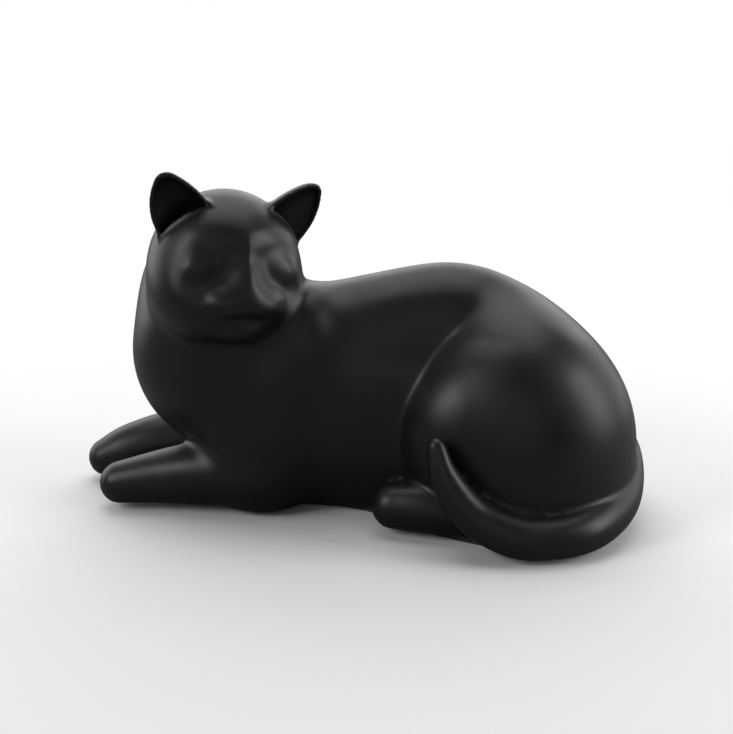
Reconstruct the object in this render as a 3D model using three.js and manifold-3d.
// Figural television lamp: a hollow slip-cast cat that lies in front of a keyed lampholder and
// throws the bulb's light backwards through an oval opening in its far flank.
// Millimetres, +Z up. The origin is on the felt's underside, below the ribs. The head is at -X,
// the face and the tail are at -Y, and the light leaves at +Y.
import * as THREE from "three";
import { mergeVertices } from "three/addons/utils/BufferGeometryUtils.js";
import Module from "manifold-3d";

const wasm = await Module();
wasm.setup();

// ---------------------------------------------------------------- driving dimensions
const GAP = 0.3; // between pieces that a cut or a turn brings face to face
const FELT = 2.5; // thickness
const CASTING = { wall: 6, floorTop: 10.5, outerCell: 7, innerCell: 11 };

const PLATE = { centre: [72, -14], half: [58, 40], hole: [46, 28], thickness: 2 };
const BASE_SCREW = { offsets: [36.8, 24], head: 3.6, headHeight: 1.9, shank: 1.7, length: 7.5 };
const INSERT = { outer: 3.2, inner: 2, top: 10.2 };

const LAMP_AXIS = [60, -6];
const WINDOW = { centre: [60, 76], half: [44, 34], from: 8, to: 70 };
const BRACKET = { width: 14, platform: 28, foot: 11.5, top: 16.1, thickness: 1.6, screwAt: 20 };
const NIPPLE = { outer: 4.9, inner: 3.3, low: 9.5, high: 21.5 };
const CAP = { outer: 17.3, wall: 1.2, low: 17.1, high: 38 };
const CORE = { neck: 11, flange: 13.9, low: 29.5, shoulder: 44, high: 49 };
const THREAD = { inner: 13.4, outer: 13.9, high: 70 };
const LINER = { inner: 14.2, outer: 14.7, low: 37, high: 70.5 };
const SHELL = { inner: 15, outer: 15.9, low: 34, high: 71.5 };
const KEY = { height: 41, shaft: 1.8, from: 6, reach: 34, grip: [15, 3.2, 9] };
const TERMINAL = { height: 36, head: 2.8, shank: 1.5 };

const BULB = { tip: 50.5, shellLow: 52.5, shellHigh: 72, cap: 13, neck: 11.4, globe: 17.5, top: 104 };
const INLET = { at: [88, 44.5, 24], innerFace: 37.5, flange: 12, barrel: 8, socket: 7.2, pin: 1.1 };
const LEAD = { radius: 1.2, halfGap: 1.5 };

// ---------------------------------------------------------------- finishes
const finish = (color, roughness, metalness = 0, extra = {}) =>
  new THREE.MeshStandardMaterial({ color, roughness, metalness, ...extra });
const FINISH = {
  glaze: finish(0x151616, 0.38),
  felt: finish(0x0d0d0e, 0.95),
  zinc: finish(0xa9adb0, 0.4, 1),
  brass: finish(0xb28b45, 0.35, 1),
  fibre: finish(0x7a3b22, 0.85),
  phenolic: finish(0x1a1210, 0.35),
  glass: finish(0xf4f1ea, 0.1, 0, { transparent: true, opacity: 0.4 }),
  tungsten: finish(0x4a4a4c, 0.5, 1),
  solder: finish(0x9a9c9e, 0.3, 1),
  blackGlass: finish(0x16141a, 0.15),
  leadBrown: finish(0x4a2c1a, 0.6),
  leadBlue: finish(0x2b4566, 0.6),
};

// ---------------------------------------------------------------- solids and meshes
/** A closed BufferGeometry as a manifold solid, its shared vertices merged. */
function solidOf(geometry) {
  const bare = geometry.clone();
  bare.deleteAttribute("normal");
  bare.deleteAttribute("uv");
  const merged = mergeVertices(bare, 1e-4);
  const corners = merged.index.array;
  const faces = [];
  for (let i = 0; i < corners.length; i += 3) {
    const [a, b, c] = [corners[i], corners[i + 1], corners[i + 2]];
    if (a !== b && b !== c && c !== a) faces.push(a, b, c);
  }
  const mesh = new wasm.Mesh({
    numProp: 3,
    vertProperties: merged.attributes.position.array,
    triVerts: new Uint32Array(faces),
  });
  return new wasm.Manifold(mesh);
}

/** A manifold solid back as a BufferGeometry. */
function geometryOf(solid) {
  const { vertProperties, triVerts } = solid.getMesh();
  const geometry = new THREE.BufferGeometry();
  geometry.setAttribute("position", new THREE.BufferAttribute(vertProperties, 3));
  geometry.setIndex(new THREE.BufferAttribute(triVerts, 1));
  geometry.computeVertexNormals();
  return geometry;
}

/** One geometry with others cut out of it. */
function cut(geometry, ...tools) {
  return geometryOf(tools.reduce((solid, tool) => solid.subtract(solidOf(tool)), solidOf(geometry)));
}

/** Several closed geometries joined into one. */
function join(...parts) {
  return geometryOf(parts.map(solidOf).reduce((whole, part) => whole.add(part)));
}

/** Adds one named piece to a group, at a place in it. */
function piece(group, name, geometry, material, position = [0, 0, 0]) {
  const mesh = new THREE.Mesh(geometry, material);
  mesh.name = name;
  mesh.position.set(...position);
  group.add(mesh);
  return mesh;
}

/** A body of revolution about Z from [radius, height] points that start and end on the axis. */
function turned(profile, sides = 20) {
  const points = profile.map(([r, z]) => new THREE.Vector2(r, z));
  return new THREE.LatheGeometry(points, sides).rotateX(Math.PI / 2);
}

/** A hollow body of revolution about Z from a [radius, height] profile that closes on itself. */
const ring = (profile, sides = 20) => turned([...profile, profile[0]], sides);

const cylinder = (radius, low, high, sides = 16) =>
  turned([[0, low], [radius, low], [radius, high], [0, high]], sides);

const tube = (inner, outer, low, high, sides = 20) =>
  ring([[inner, low], [outer, low], [outer, high], [inner, high]], sides);

const box = (size, centre) => new THREE.BoxGeometry(...size).translate(...centre);

/** An oval prism along Z between two heights. */
function ovalPrism([cx, cy], [a, b], low, high, steps = 20) {
  const oval = new THREE.Shape().absellipse(cx, cy, a, b, 0, Math.PI * 2);
  const options = { depth: high - low, bevelEnabled: false, curveSegments: steps };
  return new THREE.ExtrudeGeometry(oval, options).translate(0, 0, low);
}

/** A six-sided nut about Z with a round bore. */
const hexNut = (acrossFlats, bore, low, high) =>
  cut(cylinder(acrossFlats / Math.sqrt(3), low, high, 6), cylinder(bore, low - 1, high + 1));

/** A round wire or lead along a smooth path through the points. */
function wire(points, radius, steps, sides = 8) {
  const path = new THREE.CatmullRomCurve3(points.map((p) => new THREE.Vector3(...p)));
  const section = new THREE.Shape().absarc(0, 0, radius, 0, Math.PI * 2);
  return new THREE.ExtrudeGeometry(section, { steps, curveSegments: sides / 2, extrudePath: path });
}

// ---------------------------------------------------------------- the sculpture as a field
// The cat is the level surface of a field that is negative inside: ellipsoids and tapered limbs,
// each joined to the rest over its own blend radius.
const softMin = (a, b, k) => {
  const h = Math.max(k - Math.abs(a - b), 0) / k;
  return Math.min(a, b) - (h * h * k) / 4;
};
const softMax = (a, b, k) => -softMin(-a, -b, k);

/** A smooth step from 0 to 1. */
const fade = (t) => {
  const u = Math.min(Math.max(t, 0), 1);
  return u * u * (3 - 2 * u);
};

// Trunk masses: centre, half sizes, and the radius over which each blends into those before it.
const TRUNK = [
  { centre: [-20, 0, 56], half: [70, 38, 62], blend: 1 }, // ribs
  { centre: [42, -2, 62], half: [73, 41, 69], blend: 26 }, // loin
  { centre: [78, -14, 10], half: [60, 58, 89], blend: 26 }, // rump
  { centre: [0, -2, 26], half: [50, 27, 38], blend: 16 }, // belly
  { centre: [-77, 0, 83], half: [48.5, 42, 53], blend: 20 }, // chest
  { centre: [-76, -2, 110], half: [34, 36, 38], blend: 16 }, // neck
];
// A soft hollow above the near thigh, scooped out of the trunk.
const WAIST = { centre: [32, -58, 104], half: [40, 18, 8], blend: 20 };
const HAUNCHES = [
  { centre: [-56, -22, 43], half: [29, 22, 51], blend: 12 }, // near shoulder
  { centre: [-56, 22, 43], half: [29, 22, 51], blend: 16 }, // far shoulder
  { centre: [-31, -18, 92], half: [12, 18, 26], blend: 20 }, // near shoulder blade
  { centre: [72, 14, 40], half: [51, 38, 50], blend: 16 }, // far thigh
];
const NEAR_THIGH = { centre: [75, -36, 48], half: [59, 42, 56], crease: 3, spread: 32, from: 25, over: 60 };
const HEAD = { centre: [-73.5, -14, 132], half: [39.5, 38, 40], yaw: 25, roll: 8, blend: 5 };
const CHEEK = { centre: [15, -8, -12], half: [25, 27, 25], blend: 12 };
const MUZZLE = { centre: [0, -29, -10], half: [12, 12, 12], blend: 10 };
// An ear on the +X side, in the head's frame: where it stands, how it rises and which way it faces.
// Each side of its outline is a circle: its centre across and up the ear, and its radius.
const EAR = {
  foot: [27.6, -10.1, 25.3],
  rise: [13.1, -4.9, 21.1],
  faces: [0.16, -0.935, -0.316],
  outerSide: { across: -20, up: 0, radius: 34.7 },
  innerSide: { across: 37, up: -10, radius: 53.6 },
  flatness: 2.4,
  tip: 7,
};
// Limbs: knots of [x, y, z, radius], how many short lengths each has, and its blend radius.
const FORELEGS = [
  [[-133, -19, 13.5, 11.5], [-114, -19, 16.5, 14], [-95, -20, 19, 16.5], [-60, -23, 23, 20]],
  [[-148, 20, 12.5, 11], [-132, 22, 17, 15], [-105, 26, 21, 18], [-60, 30, 24, 20]],
];
const HIND_FOOT = [[60, -56, 13, 13], [36, -55, 15, 14], [15, -51, 14.5, 12.5]];
const TAIL = [
  [134, -10, 30, 14],
  [129, -46, 17, 13.5],
  [108, -75, 12, 12],
  [80, -84, 11.5, 11.5],
  [54, -82, 22, 10],
  [39, -79, 41, 7.5],
  [34, -76, 57, 4.5],
];
const FIGURE_BOX = { low: [-172, -112, -12], high: [172, 76, 205] };
// The thin parts are made on finer grids of their own and joined on.
const EARS_BOX = { low: [-130, -70, 116], high: [-12, 32, 200], cell: 3.1 };
const TAIL_BOX = { low: [20, -106, -8], high: [158, 16, 70], cell: 4.7 };

/** Distance to an ellipsoid, near enough for blending. */
function ellipsoid([x, y, z], [cx, cy, cz], [a, b, c]) {
  const [u, v, w] = [x - cx, y - cy, z - cz];
  const k0 = Math.hypot(u / a, v / b, w / c);
  const k1 = Math.hypot(u / (a * a), v / (b * b), w / (c * c));
  return (k0 * (k0 - 1)) / Math.max(k1, 1e-9);
}

/** Points of [x, y, z, radius] along a smooth curve through a limb's knots. */
function limbPath(knots, lengths) {
  const smooth = (points) => new THREE.CatmullRomCurve3(points, false, "catmullrom", 0.5);
  const centre = smooth(knots.map(([x, y, z]) => new THREE.Vector3(x, y, z)));
  const size = smooth(knots.map((knot) => new THREE.Vector3(knot[3], 0, 0)));
  return Array.from({ length: lengths + 1 }, (_, i) => {
    const c = centre.getPoint(i / lengths);
    return [c.x, c.y, c.z, size.getPoint(i / lengths).x];
  });
}

/** Distance to a limb: that to the nearest of its tapered lengths. */
function limb([x, y, z], path) {
  let nearest = Infinity;
  for (let i = 1; i < path.length; i++) {
    const [a, b] = [path[i - 1], path[i]];
    const d = [b[0] - a[0], b[1] - a[1], b[2] - a[2]];
    const q = [x - a[0], y - a[1], z - a[2]];
    const along = (q[0] * d[0] + q[1] * d[1] + q[2] * d[2]) / (d[0] ** 2 + d[1] ** 2 + d[2] ** 2);
    const t = Math.min(Math.max(along, 0), 1);
    const off = Math.hypot(q[0] - t * d[0], q[1] - t * d[1], q[2] - t * d[2]);
    nearest = Math.min(nearest, off - (a[3] + (b[3] - a[3]) * t));
  }
  return nearest;
}

const forelegPaths = FORELEGS.map((knots) => limbPath(knots, 8));
const hindFootPath = limbPath(HIND_FOOT, 6);
const tailPath = limbPath(TAIL, 24);

const outOfHead = new THREE.Matrix4()
  .makeRotationZ(THREE.MathUtils.degToRad(HEAD.yaw))
  .multiply(new THREE.Matrix4().makeRotationY(THREE.MathUtils.degToRad(HEAD.roll)))
  .setPosition(...HEAD.centre);
const intoHead = outOfHead.clone().invert();
const earRise = new THREE.Vector3(...EAR.rise).normalize();
const earFaces = new THREE.Vector3(...EAR.faces).normalize();
const earAcross = new THREE.Vector3().crossVectors(earRise, earFaces).normalize();

/** Distance to an ear, in the head's own frame: a pointed arch, flat on the side that it faces. */
function ear(q) {
  const p = new THREE.Vector3(Math.abs(q.x), q.y, q.z).sub(new THREE.Vector3(...EAR.foot));
  const [across, up, out] = [p.dot(earAcross), p.dot(earRise), p.dot(earFaces)];
  const side = (circle) =>
    Math.hypot(across - circle.across, up - circle.up, out * EAR.flatness) - circle.radius;
  return softMax(softMax(side(EAR.outerSide), side(EAR.innerSide), EAR.tip), out, 1);
}

const skull = (q) => ellipsoid([q.x, q.y, q.z], [0, 0, 0], HEAD.half);

/** Distance to the head, its own masses first. */
function head(p) {
  const q = new THREE.Vector3(...p).applyMatrix4(intoHead);
  let d = softMin(skull(q), ellipsoid([Math.abs(q.x), q.y, q.z], CHEEK.centre, CHEEK.half), CHEEK.blend);
  return softMin(d, ellipsoid([q.x, q.y, q.z], MUZZLE.centre, MUZZLE.half), MUZZLE.blend);
}

/** Distance to the ears alone, cut off at the middle of the skull's height. */
function ears(p) {
  const q = new THREE.Vector3(...p).applyMatrix4(intoHead);
  return Math.max(ear(q), 8 - q.z);
}

const gather = (p, masses, start) =>
  masses.reduce((d, mass) => softMin(d, ellipsoid(p, mass.centre, mass.half), mass.blend), start);
const trunk = (p) =>
  softMax(gather(p, TRUNK, 1e3), -ellipsoid(p, WAIST.centre, WAIST.half), WAIST.blend);

/** The figure but for its ears and tail, closed a little below the plane that its underside is cut to. */
function figure(p) {
  let d = gather(p, HAUNCHES, trunk(p));
  const thigh = NEAR_THIGH;
  const thighBlend = thigh.crease + thigh.spread * fade((p[0] - thigh.from) / thigh.over);
  d = softMin(d, ellipsoid(p, thigh.centre, thigh.half), thighBlend);
  d = softMin(d, limb(p, hindFootPath), 3);
  for (const path of forelegPaths) d = softMin(d, limb(p, path), 9);
  return Math.max(softMin(d, head(p), HEAD.blend), -5 - p[2]);
}

/** The hollow that the slip leaves: the trunk and the skull, one wall further in. */
function hollow(p) {
  const inHead = new THREE.Vector3(...p).applyMatrix4(intoHead);
  return Math.max(softMin(trunk(p), skull(inHead), 12) + CASTING.wall, -p[2]);
}

/** Moves a point down the field's slope onto its surface, by less than half a cell a step. */
function ontoSurface(field, start, cell) {
  const probe = 0.05;
  const steps = 3;
  let p = start;
  for (let step = 0; step < steps; step++) {
    const slope = [0, 1, 2].map((axis) => {
      const [before, after] = [[...p], [...p]];
      before[axis] -= probe;
      after[axis] += probe;
      return (field(after) - field(before)) / (2 * probe);
    });
    const steepness = Math.max(Math.hypot(...slope), 0.2);
    const reach = field(p) / steepness;
    const limited = Math.sign(reach) * Math.min(Math.abs(reach), 0.4 * cell);
    p = p.map((v, axis) => v - (limited * slope[axis]) / steepness);
  }
  return p;
}

// A grid cell's corners, its twelve edges with the corners they join, and its faces' edges.
const AXES = [0, 1, 2];
const CORNERS = Array.from({ length: 8 }, (_, c) => [c >> 2, (c >> 1) & 1, c & 1]);
const EDGES = CORNERS.flatMap((corner, start) =>
  AXES.filter((axis) => !corner[axis]).map((axis) => ({ corner, axis, start, end: start + (4 >> axis) })));
const FACES = AXES.flatMap((across) => [0, 1].map((side) =>
  [...EDGES.keys()].filter((e) => EDGES[e].axis !== across && EDGES[e].corner[across] === side)));

/** Which patch of surface crosses each edge of a cell, from its corners' signs: patches are
 *  followed from face to face, and a face with four crossings keeps its inside corners apart. */
function edgePatches(insideCorners) {
  const isInside = (corner) => ((insideCorners >> corner) & 1) === 1;
  const insideEnd = ({ start, end }) => (isInside(start) ? start : end);
  const patch = EDGES.map(({ start, end }, e) => (isInside(start) !== isInside(end) ? e : -1));
  const link = (a, b) => {
    const [from, to] = [patch[a], patch[b]];
    patch.forEach((label, e) => {
      if (label === from) patch[e] = to;
    });
  };
  for (const face of FACES) {
    const crossed = face.filter((e) => patch[e] >= 0);
    crossed.forEach((a, i) => crossed.slice(i + 1).forEach((b) => {
      if (crossed.length === 2 || insideEnd(EDGES[a]) === insideEnd(EDGES[b])) link(a, b);
    }));
  }
  return patch;
}
const PATCHES = Array.from({ length: 256 }, (_, insideCorners) => edgePatches(insideCorners));

/** The level surface of a field as a closed mesh: one point for each patch of it in a cell, and
 *  one quad round each grid edge that it crosses. */
function levelSurface(field, { low, high }, cell) {
  const count = low.map((v, axis) => Math.ceil((high[axis] - v) / cell) + 1);
  const at = ([i, j, k]) => (i * count[1] + j) * count[2] + k;
  const move = (node, by, scale = 1) => node.map((v, m) => v + scale * by[m]);
  const place = (node) => node.map((v, axis) => low[axis] + v * cell);
  const eachNode = (from, visit) => {
    for (let i = from; i < count[0] - 1; i++)
      for (let j = from; j < count[1] - 1; j++)
        for (let k = from; k < count[2] - 1; k++) visit([i, j, k]);
  };
  const value = new Float64Array(count[0] * count[1] * count[2]).fill(1e3);
  eachNode(0, (node) => {
    value[at(node)] = field(place(node));
  });
  const patchesAt = (node) =>
    PATCHES[CORNERS.reduce((bits, c, i) => bits | (value[at(move(node, c))] < 0 ? 1 << i : 0), 0)];

  const pointOf = new Map(); // from a cell and one of its patches
  const points = [];
  eachNode(0, (node) => {
    const patches = patchesAt(node);
    for (const patch of new Set(patches.filter((label) => label >= 0))) {
      const crossings = EDGES.filter((_, e) => patches[e] === patch).map(({ corner, axis, start, end }) => {
        const [from, to] = [start, end].map((c) => value[at(move(node, CORNERS[c]))]);
        return corner.map((v, m) => (m === axis ? from / (from - to) : v));
      });
      const sum = crossings.reduce((total, c) => move(total, c));
      pointOf.set(at(node) * EDGES.length + patch, points.length);
      points.push(ontoSurface(field, place(move(node, sum, 1 / crossings.length)), cell));
    }
  });

  const faces = [];
  eachNode(1, (node) => {
    for (const axis of AXES) {
      const inside = value[at(node)] < 0;
      if (inside === value[at(node.map((v, m) => (m === axis ? v + 1 : v)))] < 0) continue;
      const [u, v] = [(axis + 1) % 3, (axis + 2) % 3];
      const around = [[1, 1], [0, 1], [0, 0], [1, 0]].map(([du, dv]) => {
        const corner = AXES.map((m) => (m === u ? du : m === v ? dv : 0));
        const edge = EDGES.findIndex((e) => e.axis === axis && e.corner.every((c, m) => c === corner[m]));
        const home = move(node, corner, -1);
        return pointOf.get(at(home) * EDGES.length + patchesAt(home)[edge]);
      });
      if (!inside) around.reverse();
      const [a, b, c, d] = around;
      faces.push(a, b, c, a, c, d);
    }
  });
  const geometry = new THREE.BufferGeometry();
  geometry.setAttribute("position", new THREE.Float32BufferAttribute(points.flat(), 3));
  geometry.setIndex(faces);
  return geometry;
}

// ---------------------------------------------------------------- casting, felt and base
const lamp = new THREE.Group();
const floor = FELT;
const plateTop = FELT + PLATE.thickness;

const baseScrewPlaces = [-1, 1].flatMap((sx) => [-1, 1].map((sy) => [
  PLATE.centre[0] + sx * BASE_SCREW.offsets[0],
  PLATE.centre[1] + sy * BASE_SCREW.offsets[1],
]));
const bracketScrewPlaces = [-1, 1].map((side) => [
  LAMP_AXIS[0] + side * BRACKET.screwAt, LAMP_AXIS[1],
]);
const holesAt = (places, radius, low, high) =>
  places.map(([x, y]) => cylinder(radius, low, high).translate(x, y, 0));

function casting() {
  const halfSpace = 400;
  const below = (z) => box([2 * halfSpace, 2 * halfSpace, halfSpace], [0, 0, z - halfSpace / 2]);
  const cavity = cut(levelSurface(hollow, FIGURE_BOX, CASTING.innerCell), below(CASTING.floorTop));
  const window = ovalPrism(WINDOW.centre, WINDOW.half, 0, WINDOW.to - WINDOW.from)
    .rotateX(Math.PI / 2)
    .translate(0, WINDOW.to, 0);
  const [inletX, inletY, inletZ] = INLET.at;
  const alongY = (radius, low, high) =>
    cylinder(radius, low, high).rotateX(-Math.PI / 2).translate(inletX, 0, inletZ);
  const cat = join(
    levelSurface(figure, FIGURE_BOX, CASTING.outerCell),
    levelSurface(ears, EARS_BOX, EARS_BOX.cell),
    levelSurface((p) => limb(p, tailPath), TAIL_BOX, TAIL_BOX.cell),
  );
  return cut(
    cat,
    below(floor),
    cavity,
    ovalPrism(PLATE.centre, PLATE.hole, 0, CASTING.floorTop + 1),
    ovalPrism(PLATE.centre, PLATE.half.map((v) => v + GAP), 0, plateTop),
    window,
    alongY(INLET.flange + 1, inletY, inletY + 20),
    alongY(INLET.flange + 1, INLET.innerFace - 14, INLET.innerFace),
    alongY(INLET.barrel + GAP, INLET.innerFace - 14, inletY + 20),
    ...holesAt(baseScrewPlaces, INSERT.outer + GAP, plateTop - 1, CASTING.floorTop + 1),
  );
}

// The felt's outline, a smooth closed curve a little inside the casting's underside.
const FELT_OUTLINE = [
  [-52, -2], [-36, -17], [-12, -22], [10, -34], [30, -53], [52, -66], [74, -75], [98, -77],
  [118, -66], [131, -45], [137, -18], [131, 10], [114, 30], [88, 39], [58, 38], [34, 29],
  [8, 18], [-16, 16], [-38, 12],
];

function felt() {
  const points = FELT_OUTLINE.map(([x, y]) => new THREE.Vector3(x, y, 0));
  const curve = new THREE.CatmullRomCurve3(points, true);
  const outline = new THREE.Shape(curve.getPoints(60).slice(0, -1).map((p) => new THREE.Vector2(p.x, p.y)));
  const sheet = new THREE.ExtrudeGeometry(outline, { depth: FELT, bevelEnabled: false });
  const places = [...baseScrewPlaces, ...bracketScrewPlaces];
  return cut(sheet, ...holesAt(places, BASE_SCREW.head + 1.2, -1, FELT + 1));
}

/** A pan-headed screw about Z, its head below the plate and its shank up through it. */
const screw = (length) =>
  turned([
    [0, FELT - BASE_SCREW.headHeight],
    [BASE_SCREW.head - 0.7, FELT - BASE_SCREW.headHeight],
    [BASE_SCREW.head, FELT - BASE_SCREW.headHeight + 0.8],
    [BASE_SCREW.head, FELT],
    [BASE_SCREW.shank, FELT],
    [BASE_SCREW.shank, FELT + length],
    [0, FELT + length],
  ], 16);

piece(lamp, "cat_figure", casting(), FINISH.glaze);
piece(lamp, "felt_pad", felt(), FINISH.felt);
piece(lamp, "base_plate", cut(
  ovalPrism(PLATE.centre, PLATE.half, FELT, plateTop),
  ...holesAt([...baseScrewPlaces, ...bracketScrewPlaces], BASE_SCREW.shank + GAP, 0, 10),
), FINISH.zinc);
baseScrewPlaces.forEach(([x, y], i) => {
  piece(lamp, `base_screw_${i + 1}`, screw(BASE_SCREW.length), FINISH.zinc, [x, y, 0]);
  const insert = tube(INSERT.inner, INSERT.outer, plateTop + GAP, INSERT.top, 16);
  piece(lamp, `base_insert_${i + 1}`, insert, FINISH.brass, [x, y, 0]);
});

// ---------------------------------------------------------------- bracket and lampholder
const holder = new THREE.Group();
holder.position.set(...LAMP_AXIS, 0);
lamp.add(holder);

/** The strap that stands on the base plate: a hat section with a hole in its crown and feet. */
function bracket() {
  const { width, platform, foot, top, thickness, screwAt } = BRACKET;
  const [crown, end] = [platform / 2, platform / 2 + foot];
  const outline = new THREE.Shape([
    [-end, plateTop], [-crown + thickness, plateTop], [-crown + thickness, top - thickness],
    [crown - thickness, top - thickness], [crown - thickness, plateTop], [end, plateTop],
    [end, plateTop + thickness], [crown, plateTop + thickness], [crown, top], [-crown, top],
    [-crown, plateTop + thickness], [-end, plateTop + thickness],
  ].map(([x, z]) => new THREE.Vector2(x, z)));
  const strap = new THREE.ExtrudeGeometry(outline, { depth: width, bevelEnabled: false })
    .rotateX(Math.PI / 2)
    .translate(0, width / 2, 0);
  const feet = holesAt([[-screwAt, 0], [screwAt, 0]], BASE_SCREW.shank + GAP, 0, 10);
  return cut(strap, cylinder(NIPPLE.outer + GAP, top - 5, top + 5), ...feet);
}

piece(holder, "lamp_bracket", bracket(), FINISH.zinc);
[-1, 1].forEach((side, i) => {
  const place = [side * BRACKET.screwAt, 0, 0];
  const footTop = plateTop + BRACKET.thickness;
  piece(holder, `bracket_screw_${i + 1}`, screw(8), FINISH.zinc, place);
  const nut = hexNut(7, BASE_SCREW.shank + GAP, footTop, footTop + 3);
  piece(holder, `bracket_nut_${i + 1}`, nut, FINISH.zinc, place);
});
const crownUnder = BRACKET.top - BRACKET.thickness;
piece(holder, "holder_nipple", tube(NIPPLE.inner, NIPPLE.outer, NIPPLE.low, NIPPLE.high), FINISH.brass);
piece(holder, "nipple_nut",
  hexNut(15, NIPPLE.outer + GAP, crownUnder - 3.3, crownUnder), FINISH.brass);
piece(holder, "nipple_lock_washer",
  tube(NIPPLE.outer + GAP, 8, BRACKET.top, CAP.low), FINISH.zinc);

/** The cap that the nipple carries: a spun cup with a raised bead round its waist. */
function holderCap() {
  const { outer, wall, low, high } = CAP;
  const inner = outer - wall;
  return ring([
    [NIPPLE.outer + GAP, low], [9, low], [14.5, low + 4], [outer - 0.8, low + 9],
    [outer - 0.8, high - 7], [outer, high - 6], [outer, high], [inner, high],
    [inner, high - 5], [inner - 0.8, high - 6], [inner - 0.8, low + 9.5],
    [14, low + 5.6], [9, low + 1.6], [NIPPLE.outer + GAP, low + 1.6],
  ], 28);
}

/** The insulating core, with the key's hole and a recess for each terminal screw. */
function holderCore() {
  const { neck, flange, low, shoulder, high } = CORE;
  const core = turned([
    [0, low], [neck, low], [neck, shoulder], [flange, shoulder + 2], [flange, high], [0, high],
  ], 28);
  const keyHole = cylinder(KEY.shaft + GAP, KEY.from - 1, 20)
    .rotateX(-Math.PI / 2)
    .translate(0, 0, KEY.height);
  const recesses = [-1, 1].flatMap((side) => [
    box([6, 8, 8], [side * (neck + 1), 0, TERMINAL.height]),
    cylinder(TERMINAL.shank + GAP, 3, neck).rotateY((side * Math.PI) / 2).translate(0, 0, TERMINAL.height),
  ]);
  return cut(core, keyHole, ...recesses);
}

/** A terminal screw along X, with its head in the core's recess. */
const terminalScrew = (side) =>
  turned([
    [0, 4], [TERMINAL.shank, 4], [TERMINAL.shank, 9.2], [TERMINAL.head, 9.2],
    [TERMINAL.head, 11.2], [0, 11.2],
  ], 12).rotateY((side * Math.PI) / 2);

piece(holder, "holder_cap", holderCap(), FINISH.brass);
piece(holder, "holder_core", holderCore(), FINISH.phenolic);
piece(holder, "line_terminal_screw", terminalScrew(-1), FINISH.brass, [0, 0, TERMINAL.height]);
piece(holder, "neutral_terminal_screw", terminalScrew(1), FINISH.brass, [0, 0, TERMINAL.height]);
piece(holder, "centre_contact",
  turned([[0, CORE.high], [4, CORE.high], [3.4, CORE.high + 1.2], [0, CORE.high + 1.2]], 16), FINISH.brass);
piece(holder, "screw_shell", tube(THREAD.inner, THREAD.outer, CORE.high, THREAD.high, 32), FINISH.brass);

/** A sleeve with a round hole on its +Y side for the key's shaft. */
const sleeveWithKeyHole = ({ inner, outer, low, high }) =>
  cut(tube(inner, outer, low, high, 32),
    cylinder(KEY.shaft + 1.2, 5, 20).rotateX(-Math.PI / 2).translate(0, 0, KEY.height));
piece(holder, "holder_liner", sleeveWithKeyHole(LINER), FINISH.fibre);
piece(holder, "holder_shell", sleeveWithKeyHole(SHELL), FINISH.brass);

/** The switch key: a round shaft out of the holder's side, and a flat thumb-piece on its end. */
function switchKey() {
  const [length, thick, height] = KEY.grip;
  const shaft = cylinder(KEY.shaft, KEY.from, KEY.reach, 16);
  const grip = new THREE.Shape().absellipse(0, 0, length / 2, height / 2, 0, Math.PI * 2);
  const flat = new THREE.ExtrudeGeometry(grip, { depth: thick, bevelEnabled: false, curveSegments: 8 })
    .translate(0, 0, -thick / 2)
    .rotateY(Math.PI / 2)
    .translate(0, 0, KEY.reach - 1);
  return join(shaft, flat).rotateX(-Math.PI / 2);
}
piece(holder, "switch_key", switchKey(), FINISH.brass, [0, 0, KEY.height]);

// ---------------------------------------------------------------- bulb
const bulb = new THREE.Group();
bulb.position.set(...LAMP_AXIS, 0);
lamp.add(bulb);

/** The blown envelope: a globe that runs into an open neck, one thin wall throughout. */
function envelope() {
  const wall = 0.8;
  const centre = BULB.top - BULB.globe;
  const profile = (inset) => {
    const radius = BULB.globe - inset;
    const neckAngle = Math.asin((BULB.neck - inset + 1.4) / radius);
    const arc = Array.from({ length: 11 }, (_, i) => {
      const a = (i / 10) * (Math.PI - neckAngle);
      return [i ? radius * Math.sin(a) : 0, centre + radius * Math.cos(a)];
    });
    return [...arc, [BULB.neck - inset, 69], [BULB.neck - inset, 64]];
  };
  return turned([...profile(wall), ...profile(0).reverse()], 28);
}

piece(bulb, "bulb_glass", envelope(), FINISH.glass);
piece(bulb, "bulb_cap", ring([
  [9.3, BULB.shellLow], [BULB.cap, BULB.shellLow + 3], [BULB.cap, BULB.shellHigh],
  [BULB.cap - 0.8, BULB.shellHigh], [BULB.cap - 0.8, BULB.shellLow + 3.6],
  [9.3, BULB.shellLow + 1],
], 32), FINISH.brass);
piece(bulb, "bulb_insulator", ring([
  [4.6, BULB.tip + 0.3], [9, BULB.shellLow + 0.2], [9, BULB.shellLow + 3], [4.6, BULB.shellLow + 3],
], 20), FINISH.blackGlass);
piece(bulb, "bulb_contact", turned([
  [0, BULB.tip], [3, BULB.tip], [4.3, BULB.tip + 0.8], [4.3, BULB.tip + 2.6], [0, BULB.tip + 2.6],
], 16), FINISH.solder);
piece(bulb, "bulb_stem", turned([
  [0, 66], [10, 66], [4, 70], [3, 79], [0, 80],
], 16), FINISH.glass);

/** The tungsten filament and its two support wires, one wire bent through its points. */
function filament() {
  const zigzag = Array.from({ length: 7 }, (_, i) => [-6 + 2 * i, i % 2 ? 1.2 : -1.2, 90]);
  return wire([[-2, 0, 80.4], [-6, 0, 85], ...zigzag, [6, 0, 85], [2, 0, 80.4]], 0.35, 32, 6);
}
piece(bulb, "bulb_filament", filament(), FINISH.tungsten);

// ---------------------------------------------------------------- mains inlet and leads
const inlet = new THREE.Group(); // its own +Z points out of the wall
inlet.position.set(...INLET.at);
inlet.rotation.x = -Math.PI / 2;
lamp.add(inlet);

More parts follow.
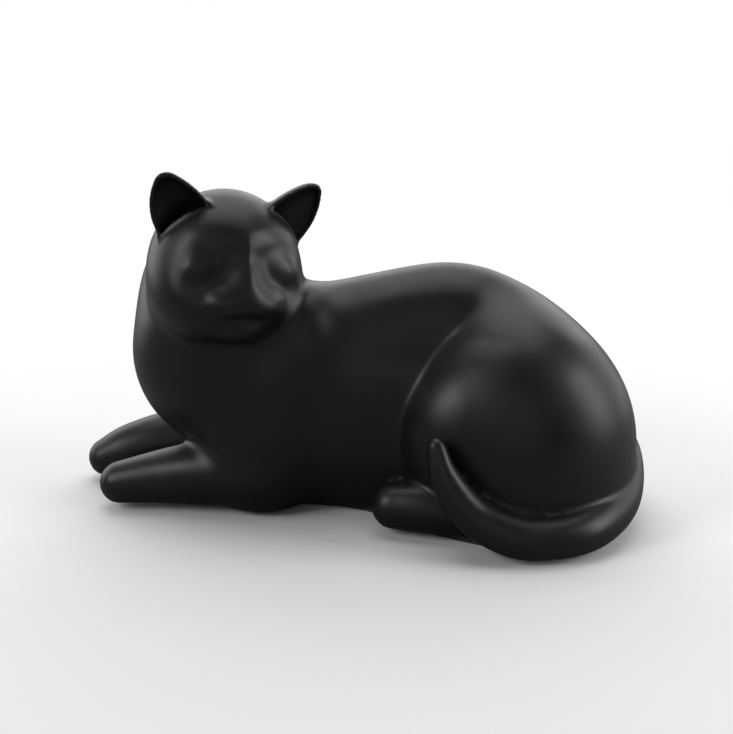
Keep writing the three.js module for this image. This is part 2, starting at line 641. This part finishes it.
const innerFace = INLET.innerFace - INLET.at[1];
const socketFloor = innerFace - 2;
const pinAt = 3.6;
piece(inlet, "inlet_body", cut(
  turned([
    [0, socketFloor - 5], [INLET.barrel, socketFloor - 5], [INLET.barrel, GAP],
    [INLET.flange, GAP], [INLET.flange, 2.2], [INLET.flange - 0.8, 3], [0, 3],
  ], 28),
  cylinder(INLET.socket, socketFloor, 10, 28),
  ...holesAt([[-pinAt, 0], [pinAt, 0]], INLET.pin + GAP, socketFloor - 10, 0),
), FINISH.phenolic);
piece(inlet, "inlet_nut", hexNut(20, INLET.barrel + GAP, innerFace - GAP - 3, innerFace - GAP), FINISH.zinc);
for (const [name, side] of [["line", -1], ["neutral", 1]]) {
  const pin = turned([
    [0, socketFloor - 9], [INLET.pin, socketFloor - 9], [INLET.pin, 0.2], [INLET.pin / 2, 1], [0, 1],
  ], 12);
  piece(inlet, `inlet_pin_${name}`, pin, FINISH.brass, [side * pinAt, 0, 0]);
}

/** A lead from an inlet pin, down to the base plate, up the nipple and out to its terminal. */
function lead(side) {
  const [x, y] = LAMP_AXIS;
  const low = plateTop + LEAD.radius + GAP;
  const pinEnd = INLET.at[1] + socketFloor - 9 - GAP;
  const pinX = INLET.at[0] + side * pinAt;
  const apart = side * LEAD.halfGap;
  return wire([
    [pinX, pinEnd, INLET.at[2]],
    [pinX, pinEnd - 4, INLET.at[2] - 1],
    [pinX - 4, y + 22 - apart, 17],
    [x + 14 + apart, y + 14 - apart, low + 3],
    [x + 5 + apart, y + 8 - apart, low + 0.6],
    [x + 0.5 + apart, y + 1.5 - apart / 2, low + 0.4],
    [x + apart, y, 10.5],
    [x + apart, y, 20],
    [x + side * 2.4, y, 23],
    [x + side * 7, y, 25.4],
    [x + side * 12.5, y, 28],
    [x + side * 13.2, y, TERMINAL.height - TERMINAL.head - GAP],
  ], LEAD.radius, 44);
}
piece(lamp, "line_lead", lead(-1), FINISH.leadBrown);
piece(lamp, "neutral_lead", lead(1), FINISH.leadBlue);

export default lamp;
